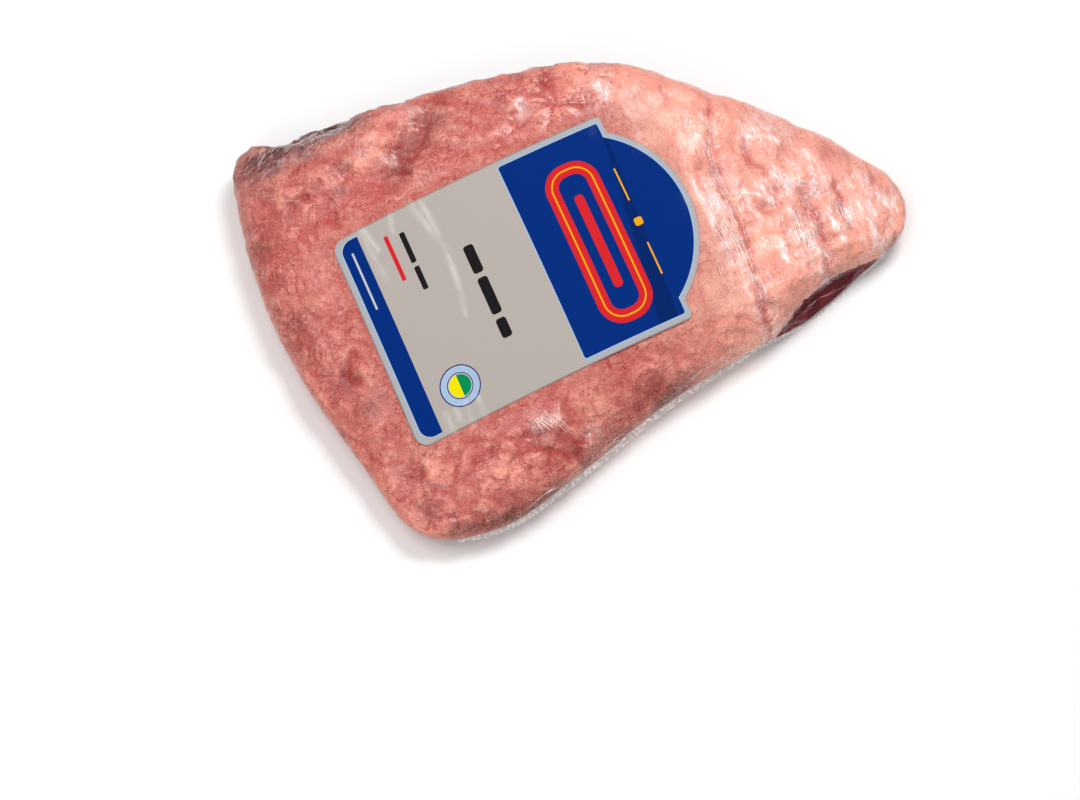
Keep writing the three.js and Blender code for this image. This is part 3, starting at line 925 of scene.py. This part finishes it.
# The print, in the label's frame in mm: where a field begins and ends, or its middle and half its size
BORDER = 2.75
BAND = (-77.5, -68.2)
BAND_CORNER = 6
BAND_HALF_WIDTH = 50.8
FIELD = (4.1, 55.4)
FIELD_CORNER = 1.2
FIELD_HALF_WIDTH = 50.2
DOME_MIDDLE = (26.4, 0)
DOME_RADIUS = 51.4
BARS = [
    ((-23.9, 15), (2.5, 7.2), "black"), ((-23.9, -4), (2.5, 9.4), "black"),
    ((-23.9, -20.6), (2.5, 4.8), "black"), ((-49, 34.3), (1.3, 8), "black"),
    ((-49, 18.2), (1.3, 6), "black"), ((-56.4, 32.4), (1.0, 11.8), "red"),
    ((-73.2, 29.3), (0.5, 15), "pale"), ((53.6, 17.5), (0.4, 8.6), "yellow"),
    ((53, -21), (0.4, 8.2), "yellow"), ((53.4, -2), (2, 2), "yellow"),
]
BAR_INK = {"black": LABEL_BLACK, "red": LABEL_RED, "pale": LABEL_PALE, "yellow": LABEL_YELLOW}

# A fold across the blue field, painted as a darker band of shade: its middle and half its width, each with
# its change across the label
FOLD = ((52, 0.1), (2.7, -0.043))
FOLD_SOFTNESS = 0.7

# The ring-shaped field: a loop and a yellow line along it, round a bar
LOOP_MIDDLE = (32.5, -2.6)
LOOP_HALF = (13.4, 40.8)
LOOP_CORNER = 12
LOOP_WIDTH = 6.4
LOOP_LINE = 0.4
LOOP_BAR = (2.3, 24)
LOOP_BAR_CORNER = 2

# The round mark: its rings as radius, half width and ink, and the two-tone disc inside them
DISC_MIDDLE = (-52.7, -35.6)
DISC_RADIUS = 5.2
DISC_FIELD = 9.3
DISC_RINGS = ((9.3, 0.3, LABEL_BLUE), (7.6, 1.1, LABEL_LINE), (5.9, 0.25, LABEL_BLUE))


def mm(*values):
    """The same sizes in metres."""
    return tuple(value * MM for value in values)


def label_grounds(f, sheet, along, across):
    """The print's grounds: warm grey, a silver rim, and two blue fields with pale lines round them."""
    band_start, band_end = mm(*BAND)
    field_start, field_end = mm(*FIELD)
    border = f.plus(f.maths("ABSOLUTE", across), -FIELD_HALF_WIDTH * MM)
    border = f.overlap(border, f.maths("SUBTRACT", band_start, along))
    border = f.overlap(border, f.maths("SUBTRACT", along, field_end))
    band = f.plate(sheet, (band_end, 0), (band_end - band_start, BAND_HALF_WIDTH * MM), BAND_CORNER * MM)
    past_band = f.maths("SUBTRACT", along, band_end)
    middle, half = (field_start + field_end) / 2, (field_end - field_start) / 2
    field = f.plate(sheet, (middle, 0), (half, FIELD_HALF_WIDTH * MM), FIELD_CORNER * MM)
    dome = f.plus(f.from_point(sheet, mm(*DOME_MIDDLE)), -DOME_RADIUS * MM)
    field = f.joined(field, f.overlap(dome, f.maths("SUBTRACT", field_end - 2 * MM, along)))
    off_grey = f.maths("MAXIMUM", f.step(along, band_start + 2 * MM, band_start - 1 * MM),
                       f.step(along, field_start - 1 * MM, field_start + 2 * MM))
    colour = f.mixed(f.times(f.step(border, -0.5 * MM, 0.8 * MM), off_grey), LABEL_GREY, LABEL_RIM)
    # Painted shadow: a thin dark line along the label's outer edge
    edge = f.plus(f.joined(border, field), -BORDER * MM)
    colour = f.tinted(colour, LABEL_EDGE_SHADOW, f.step(edge, -0.2 * MM, 0.1 * MM), 0.6)
    outlined = f.joined(field, f.overlap(band, f.plus(past_band, 0.8 * MM)))
    colour = f.printed(colour, f.plus(outlined, -0.5 * MM), LABEL_LINE)
    # Painted shade: a darker blue band where the film folds across the field
    fold_middle, fold_half = [f.plus(f.times(across, change), at * MM) for at, change in FOLD]
    fold_shade = f.maths("SUBTRACT", f.maths("ABSOLUTE", f.maths("SUBTRACT", along, fold_middle)), fold_half)
    ink = f.mixed(f.step(fold_shade, FOLD_SOFTNESS * MM, -FOLD_SOFTNESS * MM), LABEL_BLUE, LABEL_FOLD_SHADE)
    colour = f.printed(colour, field, ink)
    return f.printed(colour, f.overlap(band, past_band), LABEL_BLUE)


def label_finish():
    """The print: fields of warm grey and blue, with plain shapes on them."""
    f = Finish("label")
    sheet = f.add("ShaderNodeUVMap", uv_map="label").outputs[0]
    split = f.add("ShaderNodeSeparateXYZ", {0: sheet})
    along, across = split.outputs[0], split.outputs[1]
    colour = label_grounds(f, sheet, along, across)
    for place, size, name in BARS:
        colour = f.printed(colour, f.plate(sheet, mm(*place), mm(*size), size[0] * 0.6 * MM), BAR_INK[name])
    loop = f.plate(sheet, mm(*LOOP_MIDDLE), mm(*LOOP_HALF), LOOP_CORNER * MM)
    colour = f.printed(colour, loop, LABEL_RED)
    colour = f.printed(colour, f.plus(loop, LOOP_WIDTH * MM), LABEL_BLUE)
    bar = f.plate(sheet, mm(*LOOP_MIDDLE), mm(*LOOP_BAR), LOOP_BAR_CORNER * MM)
    colour = f.printed(colour, bar, LABEL_RED)
    line = f.along_edge(f.plus(loop, LOOP_WIDTH / 2 * MM), LOOP_LINE * MM)
    colour = f.printed(colour, line, LABEL_YELLOW)
    off_disc = f.from_point(sheet, mm(*DISC_MIDDLE))
    colour = f.printed(colour, f.plus(off_disc, -DISC_FIELD * MM), LABEL_PALE)
    for radius, half_width, ink in DISC_RINGS:
        ring = f.along_edge(f.plus(off_disc, -radius * MM), half_width * MM)
        colour = f.printed(colour, ring, ink)
    disc = f.plus(off_disc, -DISC_RADIUS * MM)
    colour = f.printed(colour, disc, LABEL_GREEN)
    colour = f.printed(colour, f.overlap(disc, f.plus(along, -DISC_MIDDLE[0] * MM)), LABEL_LEMON)
    shader = f.add("ShaderNodeBsdfPrincipled", {
        "Base Color": colour,
        "Roughness": 0.7,
        "Specular IOR Level": 0.04,
        "Normal": f.bump(f.noise(9 * MM, detail=2), 0.4 * MM, 0.3),
    })
    return f.surface(shader.outputs[0])


def clear_film(f, mirror, haze_and_sheen, roughness, normal, colour=(1, 1, 1, 1)):
    """Film that shows only what it mirrors and where it is milky or carries painted sheen, and casts no
    shadow.
    """
    share = f.maths("MINIMUM", f.plus(mirror, haze_and_sheen), 1.0)
    body = f.add("ShaderNodeBsdfPrincipled", {
        "Base Color": colour,
        "Metallic": f.maths("DIVIDE", mirror, f.plus(share, 0.001)),
        "Roughness": roughness,
        "Normal": normal,
    })
    clear = f.add("ShaderNodeBsdfTransparent").outputs[0]
    skin = f.add("ShaderNodeMixShader", {0: share, 1: clear, 2: body.outputs[0]}).outputs[0]
    lamp_ray = f.add("ShaderNodeLightPath").outputs["Is Shadow Ray"]
    shader = f.add("ShaderNodeMixShader", {0: lamp_ray, 1: skin, 2: clear})
    return f.surface(shader.outputs[0])


def film_finish():
    """The skin-tight film: milky patches of painted sheen, drawn out into fine bright painted streaks, and
    crumples.
    """
    f = Finish("film")
    sheen_veil, crumple, calm = f.painted("sheen_veil"), f.painted("crumple"), f.painted("calm")
    bent = f.warped(9 * MM, 2.5 * MM)
    drawn = f.noise(0.9 * MM, f.turned(FILM_PULL, 12, bent), 3, 0.55)
    wide = f.noise(4.5 * MM, f.turned(FILM_PULL, 3, bent), 3, 0.6)
    crinkle = f.off_lines(2.2 * MM, f.turned(FILM_PULL, 1.8, f.warped(5 * MM, 2 * MM)), 3, 0.6)
    ridge = f.step(crinkle, 0.035, 0.0)
    # Thin streaks along the pull, where highlights are painted into the film's milky white
    streaks = f.times(f.step(drawn, 0.53, 0.62), f.step(wide, 0.4, 0.55))
    corner, gloss = f.painted("corner"), f.painted("gloss")
    pleat = f.noise(1.1 * MM, f.turned(CORNER_PULL, 5, bent), 2, 0.5)
    glint_specks = f.step(f.noise(0.8 * MM, bent, 2, 0.6), 0.62, 0.7)
    height = f.plus(f.times(ridge, f.plus(crumple, 0.12), 0.7), f.times(drawn, f.plus(calm, 0.3)),
                    f.times(wide, crumple, 1.5), f.times(pleat, corner, 2.0))
    normal = f.bump(height, 0.45 * MM, 0.6)
    mirror = f.times(f.add("ShaderNodeFresnel", {"IOR": 1.45}).outputs[0], gloss)
    haze_and_sheen = f.plus(
        # Painted sheen: broad milky patches
        f.times(sheen_veil, f.step(wide, 0.42, 0.6, 0.06, 0.5)),
        # Painted highlight on the ridges of the corner's pleats
        f.times(corner, f.step(pleat, 0.53, 0.6, 0.0, 0.24)),
        # Painted highlights: fine bright streaks along the pull
        f.times(streaks, f.plus(f.times(sheen_veil, 0.45), f.times(crumple, 0.35), f.times(calm, 0.1))),
        # Painted glints on the crumples' crinkle lines, and fine glint specks all over the fat
        f.times(crumple, ridge, 0.3),
        f.times(glint_specks, gloss, 0.2),
        # Painted sheen: soft bright streaks over the label
        f.times(f.painted("label_sheen_streak"), f.step(wide, 0.35, 0.65, 0.06, 0.27)),
    )
    return clear_film(f, mirror, haze_and_sheen, 0.2, normal)


CREASE_HIGHLIGHT = srgb(255, 242, 234)
CREASE_SHADE = srgb(178, 58, 48)


def crease_finish():
    """A pinched crease of film: brighter than the film round it, with its glint painted in as milky white.
    """
    f = Finish("film_creases")
    share = f.step(f.noise(4 * MM, detail=2), 0.3, 0.7, 0.15, 0.7)
    return clear_film(f, 0.02, share, 0.25, f.bump(f.noise(1 * MM), 0.1 * MM, 0.5), CREASE_HIGHLIGHT)


def shade_finish():
    """The fine dark line of painted shade that a crease draws beside it on the fat."""
    f = Finish("crease_shades")
    share = f.step(f.noise(3 * MM, detail=2), 0.35, 0.7, 0.1, 0.6)
    return clear_film(f, 0.0, share, 0.6, f.bump(f.noise(1 * MM), 0.05 * MM, 0.3), CREASE_SHADE)


SEAL_TINT = srgb(250, 236, 228)


def hem_finish():
    """The seal: two films pressed together, milky, with bright and dark crinkles."""
    f = Finish("film_seal")
    crinkle = f.noise(1.6 * MM, f.warped(4 * MM, 1.5 * MM), 3, 0.6)
    haze_and_sheen = f.step(crinkle, 0.46, 0.62, 0.03, 0.32)
    return clear_film(f, 0.02, haze_and_sheen, 0.25, f.bump(crinkle, 0.4 * MM, 0.4), SEAL_TINT)


def dress(piece, material, slot, *nodes):
    """Gives a piece its finish, hangs it on the root body, and hides the CAD nodes that it stands for."""
    piece.data.materials.clear()
    piece.data.materials.append(material)
    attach(piece, "root")
    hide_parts(*nodes)


def light(name, place, target, size, power):
    """A soft round lamp that points at its target."""
    lamp = bpy.data.lights.new(name, "AREA")
    lamp.shape = "DISK"
    lamp.size = size
    lamp.energy = power
    thing = bpy.data.objects.new(name, lamp)
    thing.location = place
    thing.rotation_euler = (Vector(place) - Vector(target)).to_track_quat("Z", "Y").to_euler()
    scene.collection.objects.link(thing)


# The lamps: where each stands and what it points at, its width and its power
LAMPS = {
    "key": ((0.36, 0.5, 1.05), (0.03, 0, 0), 0.45, 6.4),
    "overhead": ((-0.5, 0.1, 1.3), (0, 0, 0), 1.0, 5.2),
    "front fill": ((-0.55, -1.2, 0.9), (-0.03, 0, 0), 0.9, 6.5),
    "glint": ((0.16, 0.62, 1.2), (0, 0, 0), 0.09, 0.9),
}
ROOM_LIGHT = 0.38
FLOOR_WHITE = srgb(250, 250, 250)
FLOOR_HALF_SIZE = 4

CAMERA_LENS = 85
CAMERA_SENSOR = 36
CAMERA_DISTANCE = 1.155
CAMERA_ELEVATION = math.radians(68)
CAMERA_TARGET = Vector((-14.3, -59.3, 30)) * MM


def camera():
    """Looks down from the front, as the photograph was taken."""
    back = Vector((0, -math.cos(CAMERA_ELEVATION), math.sin(CAMERA_ELEVATION)))
    eye = bpy.data.objects.new("camera", bpy.data.cameras.new("camera"))
    eye.data.lens = CAMERA_LENS
    eye.data.sensor_width = CAMERA_SENSOR
    eye.location = CAMERA_TARGET + back * CAMERA_DISTANCE
    eye.rotation_euler = back.to_track_quat("Z", "Y").to_euler()
    scene.collection.objects.link(eye)
    scene.camera = eye


def studio():
    """A pale floor, pale surroundings and soft lamps."""
    shape = bmesh.new()
    bmesh.ops.create_grid(shape, x_segments=1, y_segments=1, size=FLOOR_HALF_SIZE)
    floor = piece_from("floor", shape)
    f = Finish("floor")
    paint_coat = f.add("ShaderNodeBsdfPrincipled", {"Base Color": FLOOR_WHITE, "Roughness": 0.9})
    floor.data.materials.append(f.surface(paint_coat.outputs[0]))
    world = bpy.data.worlds.new("studio")
    world.use_nodes = True
    background = world.node_tree.nodes["Background"]
    background.inputs["Color"].default_value = (1, 1, 1, 1)
    background.inputs["Strength"].default_value = ROOM_LIGHT
    scene.world = world
    for name, (place, target, width, power) in LAMPS.items():
        light(name, place, target, width, power)
    scene.view_settings.view_transform = "Standard"


camera()
studio()
fat = fat_piece()
lean = lean_piece()
label = label_piece()
film = film_piece(fat, lean, label)
creases_on_film = crease_piece("film_creases", film, 0)
# A second set of the creases, set aside and finished dark: painted shade beside each one
crease_shades = crease_piece("crease_shades", film, CREASE_SHADE_OFFSET)
hem = hem_piece()
dress(fat, fat_finish(), "fat", "fat_cap")
dress(lean, lean_finish(), "lean", "lean_meat")
dress(label, label_finish(), "label", "label")
dress(film, film_finish(), "film", "fat_cap", "lean_meat")
dress(creases_on_film, crease_finish(), "film", "fat_cap")
dress(crease_shades, shade_finish(), "film", "fat_cap")
dress(hem, hem_finish(), "film", "film_hem")
